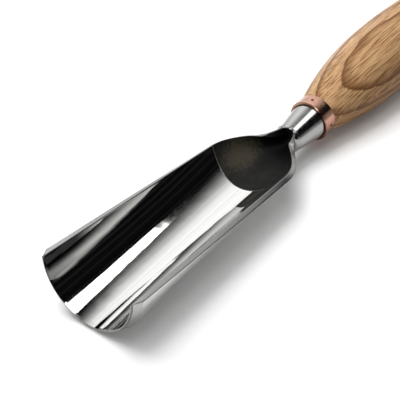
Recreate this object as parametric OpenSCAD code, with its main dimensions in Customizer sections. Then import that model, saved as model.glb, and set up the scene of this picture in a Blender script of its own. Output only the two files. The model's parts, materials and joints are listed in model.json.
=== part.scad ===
// A heavy sculptor's gouge: a trough of forged plate on a turned steel bolster,
// whose tang is driven into an ash handle behind a copper ferrule.
// The tool axis is X, with the cutting edge at x = 0, until at_rest() lays the tool down.

/* [Blade] */
// Width across the cutting edge, inside the trough
edge_w = 50; // [40:1:60]
// Depth of the trough at the cutting edge
edge_depth = 24.2; // [18:0.2:28]
// How far the floor of the trough lies below the tool axis at the edge
edge_drop = 3.5; // [2.5:0.1:6]
// How far the corners of the edge stand back from its middle
corner_setback = 3; // [0:0.5:6]
// Distance from the edge to the start of the shoulder
shoulder_at = 112; // [90:1:140]
// Width inside the trough where the shoulder starts
heel_w = 42.7; // [36:0.1:46]
// How far the floor lies below the axis where the shoulder starts
heel_drop = 1.9; // [1.5:0.1:3.5]
// Length of the shoulder, from where the sides turn in to the end of the neck
shoulder_len = 34; // [26:1:44]
// Height above the axis that the rims run down towards at the neck
rim_aim = 5.6; // [4:0.1:7]
// How hollow the rims look from the side, where 1 is straight
rim_sweep = 1.03; // [1:0.01:1.4]
// How late the sides turn in along the shoulder, where 1 is evenly
turn_in = 1.3; // [1:0.1:2]
// Thickness of the plate
plate_t = 2.8; // [2:0.1:3.5]
// Length of the bevel ground on the outside of the edge
bevel_len = 5; // [3:0.5:9]
// Thickness left at the cutting edge
edge_t = 0.12; // [0.1:0.02:0.4]

/* [Neck] */
// Outer radius of the neck, where the blade is welded to the bolster
neck_r = 7.1; // [6:0.05:8.55]
// Radius of the groove that runs out at the neck
groove_r = 2.8; // [2.2:0.1:3.5]
// Half angle that the plate wraps round the groove at the neck
neck_wrap = 150; // [120:1:155]
// Share of the shoulder that is passed before its floor and rims run into the neck
neck_blend = 0.5; // [0.4:0.02:0.6]

// Radius of the weld bead over the open top of the groove
weld_r = 0.7; // [0.4:0.1:1]
// Angle round the neck that the weld bead covers
weld_angle = 100; // [60:5:140]

/* [Bolster] */
// Length of the cone from the weld to the mouth of the ferrule
cone_len = 16.6; // [12:0.2:26]
// How far the cone's end sits inside the ferrule
cone_seat = 1; // [0.5:0.1:2]
// Chamfer turned on that end
cone_lip = 0.4; // [0.1:0.1:0.4]
// Width of the square tang where it leaves the bolster
tang_w = 8.4; // [6:0.02:10.2]
// Width of the tang at its tip
tang_tip_w = 4; // [3:0.2:6]
// Length of the tang
tang_len = 72; // [50:1:90]

/* [Ferrule] */
// Outer diameter of the copper tube
ferrule_od = 22; // [18:0.1:27]
// Wall of the copper tube
ferrule_wall = 1; // [0.8:0.1:1.2]
// Length of the ferrule
ferrule_len = 7.7; // [6:0.1:14]
// Rounding ground on the ferrule's two outer edges
ferrule_edge = 0.3; // [0.1:0.05:0.4]
// Number of punch marks that lock the ferrule to the wood
mark_count = 4; // [2:1:6]
// Radius of the punch's rounded point
mark_r = 0.8; // [0.5:0.05:1]
// Depth of each punch mark
mark_depth = 0.5; // [0.2:0.05:0.6]

/* [Handle] */
// Length of the handle behind the ferrule
handle_len = 120; // [100:1:150]
// How far the ferrule stands proud of the wood behind it
wood_step = 0.4; // [0.1:0.1:0.6]
// Largest radius of the barrel
belly_r = 18.9; // [16:0.1:22]
// Distance from the ferrule to the largest radius
belly_at = 56; // [45:1:70]
// Radius that the barrel would have at the butt, before it is rounded
butt_r = 13.2; // [12:0.1:15]
// Rounding of the butt
butt_round = 7; // [4:0.5:9]
// Depth that the hole for the tang runs past its tip
hole_spare = 3; // [1:0.5:8]

/* [Fits] */
// Gap between the bolster's cone and the inside of the ferrule's mouth
mouth_gap = 0.35; // [0.1:0.05:1]
// Clearance between the tenon and the inside of the ferrule
ferrule_fit = 0.05; // [0.02:0.01:0.15]
// Clearance all round the tang in its hole
tang_fit = 0.15; // [0.05:0.05:0.3]

/* [Quality] */
// Facets across the trough
arc_steps = 40; // [20:2:48]
// Sections along the straight part of the trough
trough_steps = 12; // [6:1:20]
// Sections along the shoulder
shoulder_steps = 28; // [16:1:36]
// Facets round the large circles that the barrel's outline is cut from
barrel_facets = 360; // [180:20:360]

/* [Hidden] */
$fn = 96;
steel = [0.80, 0.80, 0.79];
copper = [0.80, 0.52, 0.42];
ash = [0.80, 0.66, 0.46];

// Stations along the tool axis
neck_at = shoulder_at + shoulder_len;
mouth_at = neck_at + cone_len;
tenon_at = mouth_at + cone_seat;
wood_at = mouth_at + ferrule_len;
butt_at = wood_at + handle_len;

// Where the floor and rims start to run into the neck, and the corners of the edge
blend_at = shoulder_at + neck_blend * shoulder_len;
corner_rim = edge_depth - edge_drop;
rake_lead = corner_setback / edge_depth;

// Radii of the cone in the ferrule's mouth and of the wood behind the ferrule
cone_r = ferrule_od / 2 - ferrule_wall - mouth_gap;
front_r = ferrule_od / 2 - wood_step;

// Radii of the arcs that make the barrel and the butt's rounding, which meet in a faint ridge
butt_ridge = 0.03;
front_arc = arc_radius(belly_at, belly_r - front_r);
rear_arc = arc_radius(handle_len - belly_at, belly_r - butt_r);
butt_corner_at = handle_len - butt_round;
butt_centre_r = arc_height(rear_arc - butt_round, butt_corner_at - belly_at) - rear_arc + belly_r;
butt_flat_r = butt_centre_r + butt_ridge;
butt_tangent_at = belly_at + rear_arc * (butt_corner_at - belly_at) / (rear_arc - butt_round);

// The tool lies on the heel of its bevel and on the barrel's belly
heel_z = floor_z(bevel_len) - plate_t;
to_belly = [wood_at + belly_at - bevel_len, front_arc - belly_r - heel_z];
rest_pitch = atan2(to_belly[1], to_belly[0]) - asin(front_arc / norm(to_belly));
rest_lift = bevel_len * sin(rest_pitch) - heel_z * cos(rest_pitch);
front_x = min(-edge_drop * sin(rest_pitch),
              corner_setback * cos(rest_pitch) + corner_rim * sin(rest_pitch));
back_x = (butt_at - butt_round) * cos(rest_pitch) - butt_flat_r * sin(rest_pitch) + butt_round;
middle_x = (front_x + back_x) / 2;

function arc_radius(run, drop) = (run * run + drop * drop) / (2 * drop);
function arc_height(r, x) = sqrt(r * r - x * x);
function mix(a, b, t) = a + (b - a) * t;
function ease(u) = let (t = max(0, min(1, u))) t * t * (3 - 2 * t);

// Shape of the plate at a distance x from the cutting edge
function blend(x) = ease((x - blend_at) / (neck_at - blend_at));
function turned(x) = ease(pow(max(0, (x - shoulder_at) / shoulder_len), turn_in));
function floor_z(x) = mix(mix(-edge_drop, -heel_drop, x / shoulder_at), -groove_r, blend(x));
function rim_line(x) = mix(rim_aim, corner_rim, pow(max(0, 1 - x / neck_at), rim_sweep));
function rim_z(x) = mix(rim_line(x), -groove_r * cos(neck_wrap), blend(x));
function half_w(x) =
    mix(mix(edge_w, heel_w, x / shoulder_at) / 2, groove_r * sin(neck_wrap), turned(x));
function plate(x) = mix(plate_t, neck_r - groove_r, blend(x));
function wall(x) = min(plate(x), mix(edge_t, plate_t, x / bevel_len));

// One point of a section: f runs from -1 to 1 across the trough, and out is 0 inside or 1 outside
function blade_point(x, f, out) =
    let (w = half_w(x), d = rim_z(x) - floor_z(x),
         r = arc_radius(w, d), a = f * 2 * atan2(d, w),
         lead = rake_lead * max(0, 1 - x / shoulder_at) * r * (1 - cos(a)),
         ro = r + out * wall(x))
    [x + lead, ro * sin(a), floor_z(x) + r - ro * cos(a)];

stations = concat(
    [0],
    [for (i = [0 : trough_steps - 1]) mix(bevel_len, shoulder_at, i / trough_steps)],
    [for (i = [0 : shoulder_steps]) shoulder_at + shoulder_len * i / shoulder_steps]);

// Lays the tool down with its middle over the origin
module at_rest() {
    translate([-middle_x, 0, rest_lift])
        rotate([0, rest_pitch, 0])
            children();
}

// Turns a profile drawn as (radius, distance) about the tool axis
module turned_from(x) {
    translate([x, 0, 0])
        rotate([0, 90, 0])
            rotate_extrude()
                children();
}

// Two triangles for each cell of a strip between two rows of points
function cell(a, b, c, d) = [[a, b, c], [a, c, d]];

module blade() {
    n = arc_steps;
    rows = len(stations);
    side = rows * (n + 1);
    points = [for (out = [0, 1], x = stations, j = [0 : n]) blade_point(x, 2 * j / n - 1, out)];
    inside = [for (i = [0 : rows - 2], j = [0 : n - 1])
        let (p = i * (n + 1) + j)
        each cell(p, p + 1, p + n + 2, p + n + 1)];
    outside = [for (i = [0 : rows - 2], j = [0 : n - 1])
        let (p = side + i * (n + 1) + j)
        each cell(p, p + n + 1, p + n + 2, p + 1)];
    rims = [for (i = [0 : rows - 2], j = [0, n])
        let (p = i * (n + 1) + j, q = p + side)
        each j == 0 ? cell(p, p + n + 1, q + n + 1, q) : cell(p, q, q + n + 1, p + n + 1)];
    ends = [for (i = [0, rows - 1], j = [0 : n - 1])
        let (p = i * (n + 1) + j, q = p + side)
        each i == 0 ? cell(p, q, q + 1, p + 1) : cell(p, p + 1, q + 1, q)];
    color(steel)
        at_rest()
            polyhedron(points, concat(inside, outside, rims, ends), convexity = 6);
}

// The square tapered tang, or the hole for it when grown by a clearance and lengthened
module tang_shape(grow, spare) {
    tip = tang_w + (tang_tip_w - tang_w) * (tang_len + spare) / tang_len;
    translate([tenon_at, 0, 0])
        rotate([0, 90, 0])
            linear_extrude(tang_len + spare, scale = (tip + 2 * grow) / (tang_w + 2 * grow))
                square(tang_w + 2 * grow, center = true);
}

// The half of a round bead that lies on the cone's side of the joint
module weld() {
    translate([neck_at, 0, 0])
        rotate([180 - weld_angle / 2, 0, 0])
            rotate([0, 90, 0])
                rotate_extrude(angle = weld_angle)
                    intersection() {
                        translate([neck_r - weld_r / 2, 0])
                            circle(weld_r, $fn = 24);
                        translate([neck_r - 2 * weld_r, 0])
                            square([4 * weld_r, weld_r]);
                    }
}

module bolster() {
    cone_end = cone_len + cone_seat;
    color(steel)
        at_rest() {
            turned_from(neck_at)
                polygon([[0, 0], [neck_r, 0], [cone_r, cone_len], [cone_r, cone_end - cone_lip],
                         [cone_r - cone_lip, cone_end], [0, cone_end]]);
            tang_shape(0, 0);
            weld();
        }
}

// Places a shape at each punch mark, at a given distance from the tool axis
module at_marks(r) {
    for (i = [0 : mark_count - 1])
        translate([mouth_at + ferrule_len / 2, 0, 0])
            rotate([360 * i / mark_count, 0, 0])
                translate([0, 0, r])
                    children();
}

module ferrule() {
    od_r = ferrule_od / 2;
    id_r = od_r - ferrule_wall;
    e = ferrule_edge;
    color(copper)
        at_rest()
            difference() {
                union() {
                    turned_from(mouth_at)
                        polygon([[id_r, 0], [od_r - e, 0], [od_r, e], [od_r, ferrule_len - e],
                                 [od_r - e, ferrule_len], [id_r, ferrule_len]]);
                    at_marks(id_r + mark_r - mark_depth)
                        sphere(mark_r);
                }
                at_marks(od_r + mark_r - mark_depth)
                    sphere(mark_r);
            }
}

// Half outline of the barrel, from the ferrule to the butt
module barrel_profile() {
    wide = 2 * belly_r;
    intersection() {
        translate([belly_r - front_arc, belly_at])
            circle(front_arc, $fn = barrel_facets);
        square([wide, belly_at]);
    }
    intersection() {
        translate([belly_r - rear_arc, belly_at])
            circle(rear_arc, $fn = barrel_facets);
        union() {
            translate([0, belly_at])
                square([wide, butt_tangent_at - belly_at]);
            translate([butt_flat_r, butt_corner_at])
                circle(butt_round);
        }
    }
    translate([0, belly_at])
        square([butt_flat_r, handle_len - belly_at]);
}

module handle() {
    tenon_r = ferrule_od / 2 - ferrule_wall - ferrule_fit;
    color(ash)
        at_rest()
            difference() {
                union() {
                    turned_from(wood_at)
                        barrel_profile();
                    turned_from(tenon_at)
                        square([tenon_r, wood_at - tenon_at]);
                }
                tang_shape(tang_fit, hole_spare);
                at_marks(ferrule_od / 2 - ferrule_wall + mark_r - mark_depth)
                    sphere(mark_r + ferrule_fit);
            }
}

blade();
bolster();
ferrule();
handle();
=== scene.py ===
"""The finish of a sculptor's gouge: polished steel, black forge scale, copper and oiled ash."""

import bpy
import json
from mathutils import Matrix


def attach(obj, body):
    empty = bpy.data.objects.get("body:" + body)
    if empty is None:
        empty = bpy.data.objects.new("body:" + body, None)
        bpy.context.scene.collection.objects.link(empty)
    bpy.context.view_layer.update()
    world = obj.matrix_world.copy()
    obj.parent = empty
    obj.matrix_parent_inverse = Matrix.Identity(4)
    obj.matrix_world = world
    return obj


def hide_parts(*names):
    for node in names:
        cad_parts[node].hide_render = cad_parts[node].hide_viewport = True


bl_info = {
    "name": "Sculptor's gouge",
    "version": (1, 0, 0),
    "blender": (4, 5, 0),
    "location": "3D View > Sidebar > Gouge",
    "description": "Finishes the pieces of a sculptor's gouge and lays it on a pale studio floor",
    "category": "Object",
}

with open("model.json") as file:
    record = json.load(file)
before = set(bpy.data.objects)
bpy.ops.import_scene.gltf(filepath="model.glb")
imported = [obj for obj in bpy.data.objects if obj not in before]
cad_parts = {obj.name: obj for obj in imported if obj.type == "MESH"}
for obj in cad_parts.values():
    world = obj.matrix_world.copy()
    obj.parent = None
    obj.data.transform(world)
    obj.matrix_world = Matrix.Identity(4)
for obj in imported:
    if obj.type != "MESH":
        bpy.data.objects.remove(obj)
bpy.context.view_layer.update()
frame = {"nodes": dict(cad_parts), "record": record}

import json
import math

import bmesh
import bpy
from bpy.props import FloatProperty, FloatVectorProperty, PointerProperty
from mathutils import Matrix, Vector

MM = 0.001

# The tool's own axes, along it towards the butt and up from it. It is tipped up a little from the floor.
MOUNTS = {mount["name"]: mount for mount in frame["record"]["mounts"]}
AXIS = Vector(MOUNTS["butt_face"]["axis"]).normalized()
UP = Vector((-AXIS.z, 0, AXIS.x))
BAND = Vector(MOUNTS["ferrule_band"]["pos_m"])
PITCH = math.atan2(AXIS.z, AXIS.x)

# Places along the tool, in millimetres from the cutting edge
BAND_AT = 166.45
NECK_AT = 146
BEAD_AT = NECK_AT + 0.1
BEVEL_LEN = 5
MID_BLADE = 60

# Heights of the blade's floor, inside, outside and on the bevel, in millimetres from the tool's axis
TROUGH_FLOOR = -4
BACK_FLOOR = -7.5
BEVEL_FLOOR = -6.5

# Angles between faces: within one smooth skin, at a crease that stays, and at an edge that is rounded
SMOOTH = math.radians(24)
CREASE = math.radians(20)
SHARP = math.radians(50)

# How close two points are one point, and how far two triangles may bend and skew and still be one quad
SAME_POINT = 0.001 * MM
QUAD_BEND = math.radians(40)
QUAD_SKEW = math.radians(70)

# The material slots of the blade, in their order
RIM, TROUGH, BACK, BEVEL, EDGES = range(5)

# The weld bead: its arc, in degrees from the top, and its radius and lumps, in millimetres
BEAD_FROM, BEAD_TO = -38, 62
BEAD_RADIUS = 6.9
LUMP_SIZE = 0.7
LUMP_HEIGHT = 1.7

# Where the two soft panels hang, how wide and high they are, and how wide the floor is, in metres
SIDE_PANEL = (0.06, 0.44, 1.14), (1.1, 0.9)
TOP_PANEL = (-0.35, -0.1, 1.3), (0.9, 0.9)
FLOOR_SIZE = 8

# The camera's sensor, in millimetres
SENSOR_WIDTH = 36


def from_tool(along, side, up):
    """A point given in millimetres from the middle of the cutting edge, in the frame's metres."""
    return BAND + MM * ((along - BAND_AT) * AXIS + side * Vector((0, 1, 0)) + up * UP)


def along_tool(point):
    """How far a point of the frame lies behind the cutting edge, in millimetres."""
    return (Vector(point) - BAND).dot(AXIS) / MM + BAND_AT


def shaded(colour, share):
    """A colour at a share of its strength."""
    return [share * c for c in colour]


def paler(colour, share):
    """A colour mixed with a share of white."""
    return [share + (1 - share) * c for c in colour]


# Settings that a user would change

class GOUGE_PG_steel(bpy.types.PropertyGroup):
    metal: FloatVectorProperty(
        name="Steel", description="Colour of the polished steel",
        default=(0.50, 0.50, 0.49), size=3, min=0, max=1, subtype="COLOR")
    scale: FloatVectorProperty(
        name="Forge scale", description="Colour of the black skin left in the scoop",
        default=(0.005, 0.005, 0.0047), size=3, min=0, max=1, subtype="COLOR")
    brown_patch: FloatVectorProperty(
        name="Patch brown", description="Colour of the brown patch in the forge scale",
        default=(0.034, 0.029, 0.020), size=3, min=0, max=1, subtype="COLOR")
    scale_at: FloatProperty(
        name="Scale begins", description="Distance from the cutting edge to the forge scale",
        default=0.10485, min=0.08, max=0.14, unit="LENGTH")
    rim_round: FloatProperty(
        name="Rim rounding", description="Width of the rounding along the ground rims",
        default=0.00026, min=0.00005, max=0.0004, unit="LENGTH")
    bead: FloatProperty(
        name="Weld bead", description="Radius of the weld bead round the neck",
        default=0.0007, min=0.0003, max=0.0015, unit="LENGTH")
    wave: FloatProperty(
        name="Hand polish", description="Height of the slow waves that hand polishing leaves",
        default=0.00003, min=0, max=0.0001, unit="LENGTH")


class GOUGE_PG_fittings(bpy.types.PropertyGroup):
    copper: FloatVectorProperty(
        name="Copper", description="Colour of the copper tube",
        default=(0.62, 0.36, 0.26), size=3, min=0, max=1, subtype="COLOR")


class GOUGE_PG_ash(bpy.types.PropertyGroup):
    pale: FloatVectorProperty(
        name="Pale wood", description="Colour of the dense late wood",
        default=(0.56, 0.345, 0.172), size=3, min=0, max=1, subtype="COLOR")
    brown: FloatVectorProperty(
        name="Brown wood", description="Colour of the open early wood",
        default=(0.185, 0.074, 0.022), size=3, min=0, max=1, subtype="COLOR")
    ring: FloatProperty(
        name="Ring width", description="Width of one year's growth",
        default=0.0050, min=0.001, max=0.01, unit="LENGTH")


class GOUGE_PG_studio(bpy.types.PropertyGroup):
    eye: FloatVectorProperty(
        name="Camera", description="Where the camera stands",
        default=(-0.39022, -0.27889, 0.35795), size=3, subtype="TRANSLATION", unit="LENGTH")
    aim: FloatVectorProperty(
        name="Aim", description="The point that the camera looks at",
        default=(-0.06143, 0.00608, 0.01341), size=3, subtype="TRANSLATION", unit="LENGTH")
    roll: FloatProperty(
        name="Roll", description="How far the camera is rolled about its line of sight",
        default=math.radians(-3.16), subtype="ANGLE")
    lens: FloatProperty(
        name="Lens", description="Focal length in millimetres on a 36 mm sensor",
        default=108, min=20, max=300)
    floor: FloatVectorProperty(
        name="Floor", description="Colour of the studio floor",
        default=(0.93, 0.93, 0.93), size=3, min=0, max=1, subtype="COLOR")
    ambient: FloatProperty(
        name="Ambient", description="Strength of the light that comes from all round",
        default=0.27, min=0, max=2)
    panel: FloatProperty(
        name="Panel", description="Power of the soft panel beside the object",
        default=15.0, min=0, max=100, unit="POWER")
    top: FloatProperty(
        name="Top light", description="Power of the soft panel over the object",
        default=5.5, min=0, max=100, unit="POWER")


# Wiring of shader nodes

class Wiring:
    """Adds nodes to a node tree and joins them, so that a material reads as a list of steps."""

    def __init__(self, tree):
        self.tree = tree

    def feed(self, socket, value):
        if isinstance(value, bpy.types.NodeSocket):
            self.tree.links.new(value, socket)
        elif socket.type == "RGBA" and len(value) == 3:
            socket.default_value = (*value, 1)
        else:
            socket.default_value = value

    def node(self, kind, inputs=(), **settings):
        made = self.tree.nodes.new(kind)
        for name, value in settings.items():
            setattr(made, name, value)
        for name, value in dict(inputs).items():
            self.feed(made.inputs[name], value)
        return made

    def math(self, operation, *values, clamp=False):
        made = self.node("ShaderNodeMath", enumerate(values), operation=operation, use_clamp=clamp)
        return made.outputs[0]

    def add(self, first, *others):
        for other in others:
            first = self.math("ADD", first, other)
        return first

    def minus(self, first, *others):
        for other in others:
            first = self.math("SUBTRACT", first, other)
        return first

    def times(self, first, *others):
        for other in others:
            first = self.math("MULTIPLY", first, other)
        return first

    def length(self, first, second):
        """The length of the line whose two parts are given."""
        return self.math("SQRT", self.add(self.times(first, first), self.times(second, second)))

    def vector(self, operation, *values):
        return self.node("ShaderNodeVectorMath", enumerate(values), operation=operation).outputs[0]

    def split(self, vector):
        return self.node("ShaderNodeSeparateXYZ", {"Vector": vector}).outputs

    def join(self, x, y, z):
        return self.node("ShaderNodeCombineXYZ", {"X": x, "Y": y, "Z": z}).outputs[0]

    def ramp(self, value, low, high, start=0.0, end=1.0, kind="LINEAR"):
        """Runs straight from start to end while value runs from low to high."""
        inputs = {"Value": value, "From Min": low, "From Max": high, "To Min": start, "To Max": end}
        return self.node("ShaderNodeMapRange", inputs, interpolation_type=kind).outputs[0]

    def step(self, value, low, high, start=0.0, end=1.0):
        """Runs smoothly from start to end while value runs from low to high."""
        return self.ramp(value, low, high, start, end, "SMOOTHSTEP")

    def noise(self, vector, scale, detail=2.0, roughness=0.5):
        inputs = {"Vector": vector, "Scale": scale, "Detail": detail, "Roughness": roughness}
        return self.node("ShaderNodeTexNoise", inputs).outputs[0]

    def wander(self, vector, scale, size, detail=2.0, roughness=0.5):
        """Noise that strays to both sides of zero."""
        return self.times(self.minus(self.noise(vector, scale, detail, roughness), 0.5), size)

    def mix(self, share, first, second, blend="MIX"):
        made = self.node("ShaderNodeMix", data_type="RGBA", blend_type=blend)
        self.feed(made.inputs[0], share)
        self.feed(made.inputs[6], first)
        self.feed(made.inputs[7], second)
        return made.outputs[2]

    def bump(self, height, normal=None):
        """The normal of a surface whose height is given in metres."""
        made = self.node("ShaderNodeBump", {"Height": height, "Distance": 1.0, "Strength": 1.0})
        if normal is not None:
            self.feed(made.inputs["Normal"], normal)
        return made.outputs[0]


def new_group(name, inputs, outputs):
    """A shader node group with named sockets: (wiring, its inputs' sockets, its output node)."""
    tree = bpy.data.node_groups.new(name, "ShaderNodeTree")
    for label, kind, default in inputs:
        socket = tree.interface.new_socket(label, in_out="INPUT", socket_type=kind)
        if default is not None:
            socket.default_value = default
    for label, kind in outputs:
        tree.interface.new_socket(label, in_out="OUTPUT", socket_type=kind)
    w = Wiring(tree)
    return w, w.node("NodeGroupInput").outputs, w.node("NodeGroupOutput")


def place_group(w, name, inputs):
    """Places a finished group in a material and gives its outputs."""
    made = w.node("ShaderNodeGroup", node_tree=bpy.data.node_groups[name])
    for label, value in inputs.items():
        w.feed(made.inputs[label], value)
    return made.outputs


def new_material(name):
    """A material with one Principled shader: (material, wiring, shader)."""
    made = bpy.data.materials.new(name)
    made.use_nodes = True
    return made, Wiring(made.node_tree), made.node_tree.nodes["Principled BSDF"]


def tool_vector(w):
    """Object coordinates turned to the tool's axis, in millimetres from the middle of the ferrule.

    X runs towards the butt, so the blade lies at negative x. Y runs towards the far side and z upwards.
    """
    place = w.node("ShaderNodeTexCoord").outputs["Object"]
    turned = w.node("ShaderNodeMapping", {"Vector": place, "Location": BAND, "Rotation": (0, -PITCH, 0),
                                          "Scale": (MM, MM, MM)}, vector_type="TEXTURE")
    return turned.outputs[0]


# Steel

def build_polish_group():
    """Marks of grinding and polishing that run along, across or round a surface, in millimetres."""
    w, given, result = new_group(
        "polish_marks",
        [("Vector", "NodeSocketVector", None), ("Wave Height", "NodeSocketFloat", 0.004),
         ("Wave Size", "NodeSocketFloat", 5.0), ("Scratch Height", "NodeSocketFloat", 0.001),
         ("Stretch", "NodeSocketVector", (0.06, 1.0, 1.0))],
        [("Scratches", "NodeSocketFloat"), ("Smudge", "NodeSocketFloat"), ("Normal", "NodeSocketVector")])
    long_waves = w.vector("MULTIPLY", given["Vector"], (0.55, 1.0, 1.0))
    waves = w.noise(long_waves, w.math("DIVIDE", 1.0, given["Wave Size"]), detail=1.0)
    lined = w.vector("MULTIPLY", given["Vector"], given["Stretch"])
    scratches = w.noise(lined, 6.0, detail=3.0, roughness=0.7)
    height = w.add(w.times(waves, given["Wave Height"]), w.times(scratches, given["Scratch Height"]))
    w.feed(result.inputs["Scratches"], scratches)
    w.feed(result.inputs["Smudge"], w.noise(given["Vector"], 0.12, detail=3.0, roughness=0.6))
    w.feed(result.inputs["Normal"], w.bump(w.times(height, MM)))


def black_neck_rim(w, vector):
    """A mask of the far rim's inner half at the neck, which is coloured black."""
    x, y, z = w.split(vector)
    neck = w.step(x, -36, -31)
    far_side = w.step(y, -1.0, 0.0)
    taper = 0.35
    from_groove = w.add(w.length(y, z), w.times(x, taper), w.noise(vector, 1.5))
    return w.times(neck, far_side, w.step(from_groove, -0.8, -0.2, 1.0, 0.0))


def painted_dark_corner(w, vector):
    """A mask of the far front corner inside the trough, just under the rim, where a dark reflection is
    painted.
    """
    x, y, z = w.split(vector)
    under_rim = w.step(z, 10.5, 15.5)
    near_edge = w.step(x, -146, -112, 1.0, 0.0)
    far_side = w.step(y, 15, 18)
    return w.times(under_rim, near_edge, far_side)


def scale_skin(w, vector, look):
    """A mask of the forge scale, whose border bows towards the edge and is a little ragged."""
    x, y = w.split(vector)[:2]
    bow = 0.0163
    off_centre = w.add(y, 1.5)
    behind_border = w.minus(x, w.times(off_centre, off_centre, bow))
    behind_border = w.add(behind_border, BAND_AT - look.scale_at / MM)
    return w.step(w.add(behind_border, w.wander(vector, 1.6, 0.8, detail=3.0)), -0.2, 0.2)


def scale_colour(w, vector, look):
    """Black scale, greyer in patches, blackest towards the neck and brown in one patch."""
    x = w.split(vector)[0]
    patches = w.noise(vector, 0.35, detail=4.0, roughness=0.6)
    colour = w.mix(w.step(patches, 0.35, 0.7), look.scale, shaded(look.scale, 2.0))
    neck_black = (0.0008, 0.0008, 0.0008)
    colour = w.mix(w.step(x, -52, -30, 0.0, 0.9), colour, neck_black)
    patch_at = (-44.5, 11.5, 1.5)
    patch_size = (0.08, 0.11, 0.11)
    away = w.vector("MULTIPLY", w.vector("SUBTRACT", vector, patch_at), patch_size)
    away = w.node("ShaderNodeVectorMath", {0: away}, operation="LENGTH").outputs[1]
    away = w.add(away, w.wander(vector, 0.7, 2.2, detail=5.0, roughness=0.8))
    return w.mix(w.step(away, 0.3, 1.2, 1.0, 0.0), colour, look.brown_patch)


def steel_material(name, look, roughness, wave, scratch, stretch,
                   shade=1.0, neck_share=1.0, neck=False, scale=False):
    """Polished steel whose marks run one way.

    Wave and scratch are heights in millimetres. Shade is the colour's strength, and neck_share is what the
    neck keeps of it. Neck blackens the far rim at the neck; scale adds a painted dark reflection and the
    forge scale.
    """
    made, w, shader = new_material(name)
    vector = tool_vector(w)
    marks = place_group(w, "polish_marks", {
        "Vector": vector, "Wave Height": wave, "Scratch Height": scratch, "Stretch": stretch})
    metal = shaded(look.metal, shade)
    colour = w.mix(w.step(marks["Scratches"], 0.3, 0.75), shaded(metal, 0.94), metal)
    dull = w.step(marks["Smudge"], 0.35, 0.7, roughness * 0.8, roughness * 1.3)
    normal = marks["Normal"]
    shader.inputs["Specular IOR Level"].default_value = 0.1
    shader.inputs["Metallic"].default_value = 1.0
    if neck_share < 1:
        # Towards the neck the colour falls to a share of itself
        towards_neck = w.step(w.split(vector)[0], -33, -27)
        colour = w.mix(towards_neck, colour, shaded(metal, neck_share))
    if neck:
        black_rim = black_neck_rim(w, vector)
        colour = w.mix(black_rim, colour, look.scale)
        dull = w.add(dull, w.times(black_rim, 0.4))
    if scale:
        # A dark reflection painted into the far front corner of the trough
        painted_dark_reflection = (0.005, 0.005, 0.006)
        colour = w.mix(w.times(painted_dark_corner(w, vector), 0.985), colour, painted_dark_reflection)
        skin = scale_skin(w, vector, look)
        colour = w.mix(skin, colour, scale_colour(w, vector, look))
        dull = w.add(dull, w.times(skin, 0.42))
        w.feed(shader.inputs["Metallic"], w.minus(1.0, skin))
        pits = w.times(w.wander(vector, 2.2, 0.12 * MM, detail=4.0), skin)
        normal = w.bump(pits, normal)
    w.feed(shader.inputs["Base Color"], colour)
    w.feed(shader.inputs["Roughness"], dull)
    w.feed(shader.inputs["Normal"], normal)
    return made


# Copper

def copper_material(look):
    """Copper tube with tarnish, painted shade on its low side, dark ends and the dark dots of the punch
    marks.
    """
    made, w, shader = new_material("copper_tube")
    vector = tool_vector(w)
    marks = place_group(w, "polish_marks", {
        "Vector": vector, "Wave Height": 0.008, "Scratch Height": 0.0012, "Stretch": (1.0, 0.15, 0.15)})
    x, y, z = w.split(vector)
    tarnish = w.step(w.noise(vector, 0.5, detail=4.0, roughness=0.65), 0.45, 0.75)
    colour = w.mix(tarnish, look.copper, shaded(look.copper, 0.72))
    red, green, blue = look.copper
    # Painted shade: the low side of the tube, turned away from the light, is darker
    painted_shade_below = w.step(z, -3, 7, 1.0, 0.0)
    colour = w.mix(painted_shade_below, colour, (0.4 * red, 0.24 * green, 0.18 * blue))
    ends = w.step(w.math("ABSOLUTE", x), 3.1, 3.8)
    colour = w.mix(w.times(ends, 0.6), colour, shaded(look.copper, 0.3))
    aside = w.math("MINIMUM", w.math("ABSOLUTE", y), w.math("ABSOLUTE", z))
    punched = w.step(w.length(x, aside), 0.5, 0.95, 0.96, 0.0)
    colour = w.mix(punched, colour, shaded(look.copper, 0.05))
    w.feed(shader.inputs["Base Color"], colour)
    w.feed(shader.inputs["Roughness"], w.step(marks["Scratches"], 0.3, 0.7, 0.13, 0.22))
    w.feed(shader.inputs["Normal"], marks["Normal"])
    shader.inputs["Metallic"].default_value = 1.0
    return made


# Ash

def fibre_vector(w, x, across, depth):
    """Coordinates that vary slowly along the wood's fibres and into the surface, and fast across it."""
    along, inwards = 0.03, 0.25
    sideways = w.math("ABSOLUTE", across)
    turned_away = w.math("DIVIDE", sideways, w.add(sideways, w.math("ABSOLUTE", depth)))
    side = w.step(turned_away, 0.6, 0.8)
    return w.join(w.times(x, along),
                  w.times(across, w.minus(1.0, w.times(side, 1 - inwards))),
                  w.times(depth, w.add(inwards, w.times(side, 1 - inwards))))


def ring_phase(w, x, across, depth, fibre, width):
    """How far through its year the wood grew at each point, from 0 in spring to 1 in winter."""
    pith_below, pith_aside = 34.0, 2.0
    flame_radius, flame_at = 43.15, 20.5
    drift = 0.03
    radius = w.length(w.add(depth, pith_below), w.minus(across, pith_aside))
    radius = w.minus(radius, flame_radius, w.times(w.minus(x, flame_at), drift))
    ragged = w.wander(fibre, 1.4, 0.9, detail=3.0)
    return w.math("FRACT", w.math("DIVIDE", w.add(radius, ragged), width))


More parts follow.
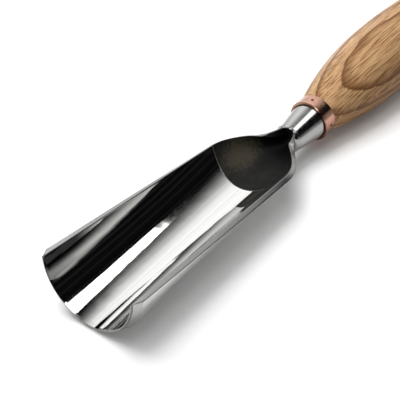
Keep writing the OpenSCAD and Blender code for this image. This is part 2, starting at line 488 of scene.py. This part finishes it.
def ash_material(look):
    """Turned ash: growth rings that surface as flames on the barrel, and open pores under a dull oiled
    finish.
    """
    made, w, shader = new_material("oiled_ash")
    shader.inputs["Specular IOR Level"].default_value = 0.16
    x, y, z = w.split(tool_vector(w))

    # The rings' own directions, leaned towards the near side, and a slow sway along the grain
    lean = math.radians(31)
    depth = w.minus(w.times(z, math.cos(lean)), w.times(y, math.sin(lean)))
    across = w.add(w.times(y, math.cos(lean)), w.times(z, math.sin(lean)))
    depth = w.add(depth, w.wander(w.join(w.times(x, 0.25), across, depth), 0.07, 2.0))
    fibre = fibre_vector(w, x, across, depth)
    phase = ring_phase(w, x, across, depth, fibre, look.ring / MM)

    # Open early wood fades from brown to pale through the year, in streaks
    early = w.times(w.step(phase, 0.0, 0.1), w.step(phase, 0.1, 0.42, 1.0, 0.0))
    fibres = w.noise(fibre, 1.2, detail=5.0, roughness=0.8)
    streaks = w.step(fibres, 0.35, 0.68)
    # Painted sheen: the pale wood turns paler towards the far side, where the light falls
    pale = w.mix(w.step(y, 0, 15, 0.0, 0.4), look.pale, paler(look.pale, 0.3))
    colour = w.mix(w.times(early, w.add(w.times(streaks, 0.45), 0.5)), pale, look.brown)

    # The thin dark line where each year starts, dark fibres, and pores, most of them in the early wood
    line = w.times(w.step(phase, 0.0, 0.04), w.step(phase, 0.05, 0.15, 0.9, 0.0))
    colour = w.mix(line, colour, shaded(look.brown, 0.65))
    colour = w.mix(w.step(fibres, 0.37, 0.54, 0.95, 0.0), colour, look.brown)
    pore_lines = w.noise(w.vector("ADD", fibre, (7.0, 3.0, 1.0)), 1.4, detail=4.0, roughness=0.75)
    pores = w.times(w.step(pore_lines, 0.53, 0.58), w.add(w.times(early, 0.4), 0.55))
    colour = w.mix(pores, colour, shaded(look.brown, 0.62))

    # Painted shade: the low near side, turned away from the light, is darkened
    from_low_side = w.add(w.times(y, 0.8), w.times(z, 0.6))
    painted_low_shade = (0.62, 0.54, 0.42)
    colour = w.mix(w.step(from_low_side, -16, 1, 1.0, 0.0), colour, painted_low_shade, blend="MULTIPLY")
    pore_depth = 0.03 * MM
    w.feed(shader.inputs["Base Color"], colour)
    w.feed(shader.inputs["Roughness"], w.step(fibres, 0.3, 0.7, 0.5, 0.38))
    w.feed(shader.inputs["Normal"], w.bump(w.times(pores, -pore_depth)))
    return made


# Modelling

def select_only(piece):
    bpy.ops.object.select_all(action="DESELECT")
    piece.select_set(True)
    bpy.context.view_layer.objects.active = piece


def merged_copy(node, name):
    """A copy of a CAD node with its loose triangles merged, ready to be shaped."""
    source = frame["nodes"][node]
    made = bpy.data.objects.new(name, source.data.copy())
    bpy.context.collection.objects.link(made)
    made.data.materials.clear()
    select_only(made)
    bpy.ops.object.mode_set(mode="EDIT")
    bpy.ops.mesh.select_all(action="SELECT")
    bpy.ops.mesh.customdata_custom_splitnormals_clear()
    bpy.ops.mesh.remove_doubles(threshold=SAME_POINT)
    bpy.ops.mesh.tris_convert_to_quads(face_threshold=QUAD_BEND, shape_threshold=QUAD_SKEW)
    bpy.ops.mesh.select_all(action="DESELECT")
    return made


def edit_mesh(piece):
    mesh = bmesh.from_edit_mesh(piece.data)
    mesh.faces.ensure_lookup_table()
    return mesh


def apply_modifier(piece, kind, **settings):
    modifier = piece.modifiers.new(kind.title(), kind)
    for name, value in settings.items():
        setattr(modifier, name, value)
    select_only(piece)
    bpy.ops.object.modifier_apply(modifier=modifier.name)


def paint_skin(piece, seed, slot):
    """Gives a material slot to the smooth skin that holds the face nearest to a point."""
    bpy.ops.mesh.select_all(action="DESELECT")
    mesh = edit_mesh(piece)
    nearest = min(mesh.faces, key=lambda face: (face.calc_center_median() - seed).length)
    nearest.select = True
    mesh.faces.active = nearest
    bmesh.update_edit_mesh(piece.data)
    bpy.ops.mesh.faces_select_linked_flat(sharpness=SMOOTH)
    piece.active_material_index = slot
    bpy.ops.object.material_slot_assign()


def round_rims(piece, width):
    """Rounds the sharp edges between the cutting edge and the neck, and keeps the creases that stay."""
    end_gap = 0.1
    bpy.ops.mesh.select_all(action="DESELECT")
    mesh = edit_mesh(piece)
    for edge in mesh.edges:
        middle = along_tool((edge.verts[0].co + edge.verts[1].co) / 2)
        if edge.calc_face_angle(0) > SHARP and end_gap < middle < NECK_AT - end_gap:
            edge.select = True
    bmesh.update_edit_mesh(piece.data)
    bpy.ops.mesh.bevel(offset=width, segments=2, profile=0.5, material=EDGES)
    mesh = edit_mesh(piece)
    crease = mesh.edges.layers.float.get("crease_edge") or mesh.edges.layers.float.new("crease_edge")
    for edge in mesh.edges:
        if edge.calc_face_angle(0) > CREASE:
            edge[crease] = 1.0
    bmesh.update_edit_mesh(piece.data)


class GOUGE_OT_blade(bpy.types.Operator):
    """Shape and polish the forged blade"""
    bl_idname = "gouge.blade"
    bl_label = "Blade"

    def execute(self, context):
        look = context.scene.gouge_steel
        blade = merged_copy("blade", "forged_blade")
        along, across = (0.06, 1.0, 1.0), (1.0, 0.06, 0.06)
        finishes = {
            RIM: steel_material("ground_rim", look, roughness=0.2, wave=0.004, scratch=0.001,
                                stretch=along, shade=0.6, neck=True),
            TROUGH: steel_material("polished_trough", look, roughness=0.045, wave=look.wave / MM,
                                   scratch=0.00012, stretch=(0.03, 1.0, 1.0), scale=True),
            BACK: steel_material("polished_back", look, roughness=0.13, wave=0.006, scratch=0.0006,
                                 stretch=(0.05, 1.0, 1.0), shade=1.35, neck_share=0.45),
            BEVEL: steel_material("ground_bevel", look, roughness=0.2, wave=0.002, scratch=0.001,
                                  stretch=across, shade=0.85),
            # The rounded rim edges are a dark steel: painted shade lines along both sides of each rim
            EDGES: steel_material("rim_edges", look, roughness=0.25, wave=0.004, scratch=0.001,
                                  stretch=along, shade=0.35, neck=True),
        }
        for slot in sorted(finishes):
            blade.data.materials.append(finishes[slot])
        paint_skin(blade, from_tool(MID_BLADE, 0, TROUGH_FLOOR), TROUGH)
        paint_skin(blade, from_tool(MID_BLADE, 0, BACK_FLOOR), BACK)
        paint_skin(blade, from_tool(BEVEL_LEN / 2, 0, BEVEL_FLOOR), BEVEL)
        round_rims(blade, look.rim_round)
        bpy.ops.object.mode_set(mode="OBJECT")
        apply_modifier(blade, "SUBSURF", levels=2, render_levels=2)
        bpy.ops.object.shade_smooth_by_angle(angle=SMOOTH)
        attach(blade, "root")
        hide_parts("blade")
        return {"FINISHED"}


def weld_arc(radius):
    """A closed arc of round section, made about the origin and not yet turned onto the tool."""
    bpy.ops.object.select_all(action="DESELECT")
    bpy.ops.mesh.primitive_torus_add(major_radius=BEAD_RADIUS * MM, minor_radius=radius,
                                     major_segments=160, minor_segments=16)
    bead = bpy.context.active_object
    bead.name = "weld_bead"
    bpy.ops.object.mode_set(mode="EDIT")
    bpy.ops.mesh.select_all(action="DESELECT")
    mesh = edit_mesh(bead)
    for vertex in mesh.verts:
        angle = math.degrees(math.atan2(-vertex.co.y, vertex.co.x))
        vertex.select = not BEAD_FROM < angle < BEAD_TO
    mesh.select_flush_mode()
    bmesh.update_edit_mesh(bead.data)
    bpy.ops.mesh.delete(type="VERT")
    bpy.ops.mesh.select_all(action="SELECT")
    bpy.ops.mesh.fill_holes(sides=0)
    bpy.ops.object.mode_set(mode="OBJECT")
    return bead


class GOUGE_OT_bolster(bpy.types.Operator):
    """Polish the turned cone of the bolster and lay the weld bead"""
    bl_idname = "gouge.bolster"
    bl_label = "Bolster"

    def execute(self, context):
        look = context.scene.gouge_steel
        cone = frame["nodes"]["bolster"]
        cone.data.materials.clear()
        cone.data.materials.append(
            steel_material("turned_cone", look, roughness=0.17, wave=0.004, scratch=0.0008,
                           stretch=(1.0, 0.08, 0.08), shade=0.7))

        bead = weld_arc(look.bead)
        lumps = bpy.data.textures.new("weld_lumps", "CLOUDS")
        lumps.noise_scale = LUMP_SIZE * MM
        apply_modifier(bead, "DISPLACE", texture=lumps, strength=LUMP_HEIGHT * MM, mid_level=0.5)
        tool_turn = Matrix((UP, (0, -1, 0), AXIS)).transposed().to_4x4()
        bead.matrix_world = Matrix.Translation(from_tool(BEAD_AT, 0, 0)) @ tool_turn
        bpy.ops.object.transform_apply(location=True, rotation=True, scale=True)
        bpy.ops.object.shade_smooth()
        bead.data.materials.append(
            steel_material("weld_bead", look, roughness=0.12, wave=0.004, scratch=0.0008,
                           stretch=(1.0, 1.0, 1.0)))
        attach(bead, "root")
        return {"FINISHED"}


class GOUGE_OT_ferrule(bpy.types.Operator):
    """Finish the copper ferrule"""
    bl_idname = "gouge.ferrule"
    bl_label = "Ferrule"

    def execute(self, context):
        band = frame["nodes"]["ferrule"]
        band.data.materials.clear()
        band.data.materials.append(copper_material(context.scene.gouge_fittings))
        return {"FINISHED"}


class GOUGE_OT_handle(bpy.types.Operator):
    """Finish the turned ash handle"""
    bl_idname = "gouge.handle"
    bl_label = "Handle"

    def execute(self, context):
        barrel = frame["nodes"]["handle"]
        barrel.data.materials.clear()
        barrel.data.materials.append(ash_material(context.scene.gouge_ash))
        return {"FINISHED"}


# What the polished steel sees. A direction has two angles, in degrees. "over" is how far it leans from
# straight up towards the far side, and "from_butt" how far it is turned from the way to the butt.

def soft_box(w, over, from_butt):
    """The white soft box overhead, whose far border slants and is ruffled like cloth."""
    far_border = w.ramp(from_butt, 61, 70, -12, 2)
    ruffle = w.wander(w.join(from_butt, 0.0, 0.0), 1.3, 9.0, detail=4.0, roughness=0.7)
    inside = w.step(w.minus(over, far_border, ruffle), -0.5, 0.5, 1.0, 0.0)
    box = w.times(w.step(over, -25, -24), inside,
                  w.step(from_butt, 62.7, 63.2), w.step(from_butt, 69.6, 69.75, 1.0, 0.0))
    edge_end = w.times(w.step(over, -29, -27), w.step(over, -6, 1, 1.0, 0.0),
                       w.step(from_butt, 69.65, 69.8))
    return w.math("MAXIMUM", box, edge_end)


def pale_panel(w, over, from_butt, folds):
    """The pale cloth panel on the far side, in folds, which brightens slowly from its near border."""
    slant = w.times(w.math("MINIMUM", w.minus(from_butt, 60), 8), 1.6)
    slant = w.add(slant, w.step(from_butt, 66, 69.5, 0.0, 12.0),
                  w.step(from_butt, 71.2, 72.6, 0.0, -25.0))
    panel = w.math("POWER", w.step(w.minus(over, slant), -24, 34), 1.25)
    butt_end = w.step(from_butt, 53, 57, 1.05, 1.95)
    far_border = w.minus(255, w.times(from_butt, 3.0))
    past_border = w.step(w.minus(over, far_border), -14, 14, 1.0, 0.45)
    edge_end = w.step(from_butt, 67, 70, 1.0, 0.85)
    return w.times(panel, butt_end, past_border, edge_end, w.step(folds, 0.3, 0.7, 0.9, 1.1))


def near_wall(w, over, from_butt):
    """The grey wall on the near side, below the black flag, with its slanting upper border."""
    border = w.add(w.times(w.minus(from_butt, 67.5), 2.13), -67)
    border = w.math("MINIMUM", border, -62)
    border = w.add(border, w.step(from_butt, 66.5, 68.5, 0.0, -28.0),
                   w.step(from_butt, 51.8, 52.4, 42.0, 0.0))
    wall = w.step(w.minus(over, border), -6.0, 0.7, 1.0, 0.0)
    return w.times(wall, w.step(from_butt, 50, 60, 0.42, 0.64))


def studio_reflections(w):
    """A soft box overhead, a pale panel on the far side, a grey wall on the near side and a black flag."""
    x, y, z = w.split(w.node("ShaderNodeTexCoord").outputs["Generated"])
    to_degrees = 180 / math.pi
    over = w.times(w.math("ARCTAN2", y, z), to_degrees)
    from_butt = w.times(w.math("ARCCOSINE", x), to_degrees)
    folds = w.noise(w.join(over, 0.0, 0.0), 0.16, detail=3.0, roughness=0.6)
    box_strength = 4.0
    box = w.times(soft_box(w, over, from_butt), box_strength)
    panel = pale_panel(w, over, from_butt, folds)
    light = w.math("MAXIMUM", w.math("MAXIMUM", panel, near_wall(w, over, from_butt)), box)
    flag = w.step(folds, 0.45, 0.7, 0.004, 0.03)
    return w.add(light, flag)


# Studio

def aimed(eye, aim, roll=0.0):
    """A matrix that stands at one point and looks at another."""
    look = (Vector(aim) - Vector(eye)).to_track_quat("-Z", "Y").to_matrix().to_4x4()
    return Matrix.Translation(eye) @ look @ Matrix.Rotation(roll, 4, "Z")


def soft_panel(name, place, size, power):
    """A lamp that looks at the origin, and that neither the camera nor a reflection sees."""
    lamp = bpy.data.lights.new(name, "AREA")
    lamp.shape = "RECTANGLE"
    lamp.size, lamp.size_y = size
    lamp.energy = power
    made = bpy.data.objects.new(name, lamp)
    made.matrix_world = aimed(place, (0, 0, 0))
    made.visible_camera = False
    made.visible_glossy = False
    bpy.context.collection.objects.link(made)


def lay_floor(colour):
    """White paper that takes shadows, and is a touch brighter to the camera and in reflections."""
    bpy.ops.object.select_all(action="DESELECT")
    bpy.ops.mesh.primitive_plane_add(size=FLOOR_SIZE, location=(0, 0, 0))
    floor = bpy.context.active_object
    floor.name = "studio_floor"
    paper, w, shader = new_material("floor_paper")
    shader.inputs["Base Color"].default_value = (*colour, 1)
    shader.inputs["Roughness"].default_value = 0.9
    shader.inputs["Specular IOR Level"].default_value = 0.0
    shader.inputs["Emission Color"].default_value = (1, 1, 1, 1)
    path = w.node("ShaderNodeLightPath").outputs
    seen = w.math("MAXIMUM", path["Is Camera Ray"], path["Is Glossy Ray"])
    lift = 0.03
    w.feed(shader.inputs["Emission Strength"], w.times(seen, lift))
    floor.data.materials.append(paper)


def hang_backdrop(scene, ambient):
    """A world that is white to the camera, plain light to the object and the studio to polished steel."""
    world = bpy.data.worlds.new("studio_light")
    scene.world = world
    world.use_nodes = True
    w = Wiring(world.node_tree)
    background = world.node_tree.nodes["Background"]
    path = w.node("ShaderNodeLightPath").outputs
    camera, glossy = path["Is Camera Ray"], path["Is Glossy Ray"]
    plain = w.math("SUBTRACT", 1.0, w.add(glossy, camera), clamp=True)
    strength = w.add(w.times(glossy, studio_reflections(w)), w.times(plain, ambient), camera)
    w.feed(background.inputs["Strength"], strength)
    background.inputs["Color"].default_value = (1, 1, 1, 1)


class GOUGE_OT_studio(bpy.types.Operator):
    """Lay the floor, hang the lights and set up the camera"""
    bl_idname = "gouge.studio"
    bl_label = "Studio"

    def execute(self, context):
        look = context.scene.gouge_studio
        scene = context.scene
        scene.view_settings.view_transform = "Standard"
        lay_floor(look.floor)
        hang_backdrop(scene, look.ambient)
        soft_panel("side_panel", *SIDE_PANEL, look.panel)
        soft_panel("top_panel", *TOP_PANEL, look.top)
        camera = bpy.data.objects.new("camera", bpy.data.cameras.new("camera"))
        camera.data.lens = look.lens
        camera.data.sensor_width = SENSOR_WIDTH
        camera.matrix_world = aimed(look.eye, look.aim, look.roll)
        context.collection.objects.link(camera)
        scene.camera = camera
        return {"FINISHED"}


class GOUGE_PT_sidebar(bpy.types.Panel):
    """Lists the pieces of the gouge and the studio"""
    bl_idname = "GOUGE_PT_sidebar"
    bl_label = "Sculptor's gouge"
    bl_space_type = "VIEW_3D"
    bl_region_type = "UI"
    bl_category = "Gouge"

    def draw(self, context):
        for operator in STEPS:
            self.layout.operator(operator.bl_idname)
        for name in GROUPS:
            group = getattr(context.scene, name)
            box = self.layout.box()
            for prop in type(group).__annotations__:
                box.prop(group, prop)


GROUPS = {
    "gouge_steel": GOUGE_PG_steel,
    "gouge_fittings": GOUGE_PG_fittings,
    "gouge_ash": GOUGE_PG_ash,
    "gouge_studio": GOUGE_PG_studio,
}
STEPS = (GOUGE_OT_studio, GOUGE_OT_blade, GOUGE_OT_bolster, GOUGE_OT_ferrule, GOUGE_OT_handle)


def register():
    for made in (*GROUPS.values(), *STEPS, GOUGE_PT_sidebar):
        bpy.utils.register_class(made)
    for name, group in GROUPS.items():
        setattr(bpy.types.Scene, name, PointerProperty(type=group))


def unregister():
    for name in GROUPS:
        delattr(bpy.types.Scene, name)
    for made in (GOUGE_PT_sidebar, *reversed(STEPS), *reversed(tuple(GROUPS.values()))):
        bpy.utils.unregister_class(made)


def main():
    register()
    build_polish_group()
    bpy.ops.gouge.studio()
    bpy.ops.gouge.blade()
    bpy.ops.gouge.bolster()
    bpy.ops.gouge.ferrule()
    bpy.ops.gouge.handle()


if __name__ == "__main__":
    main()
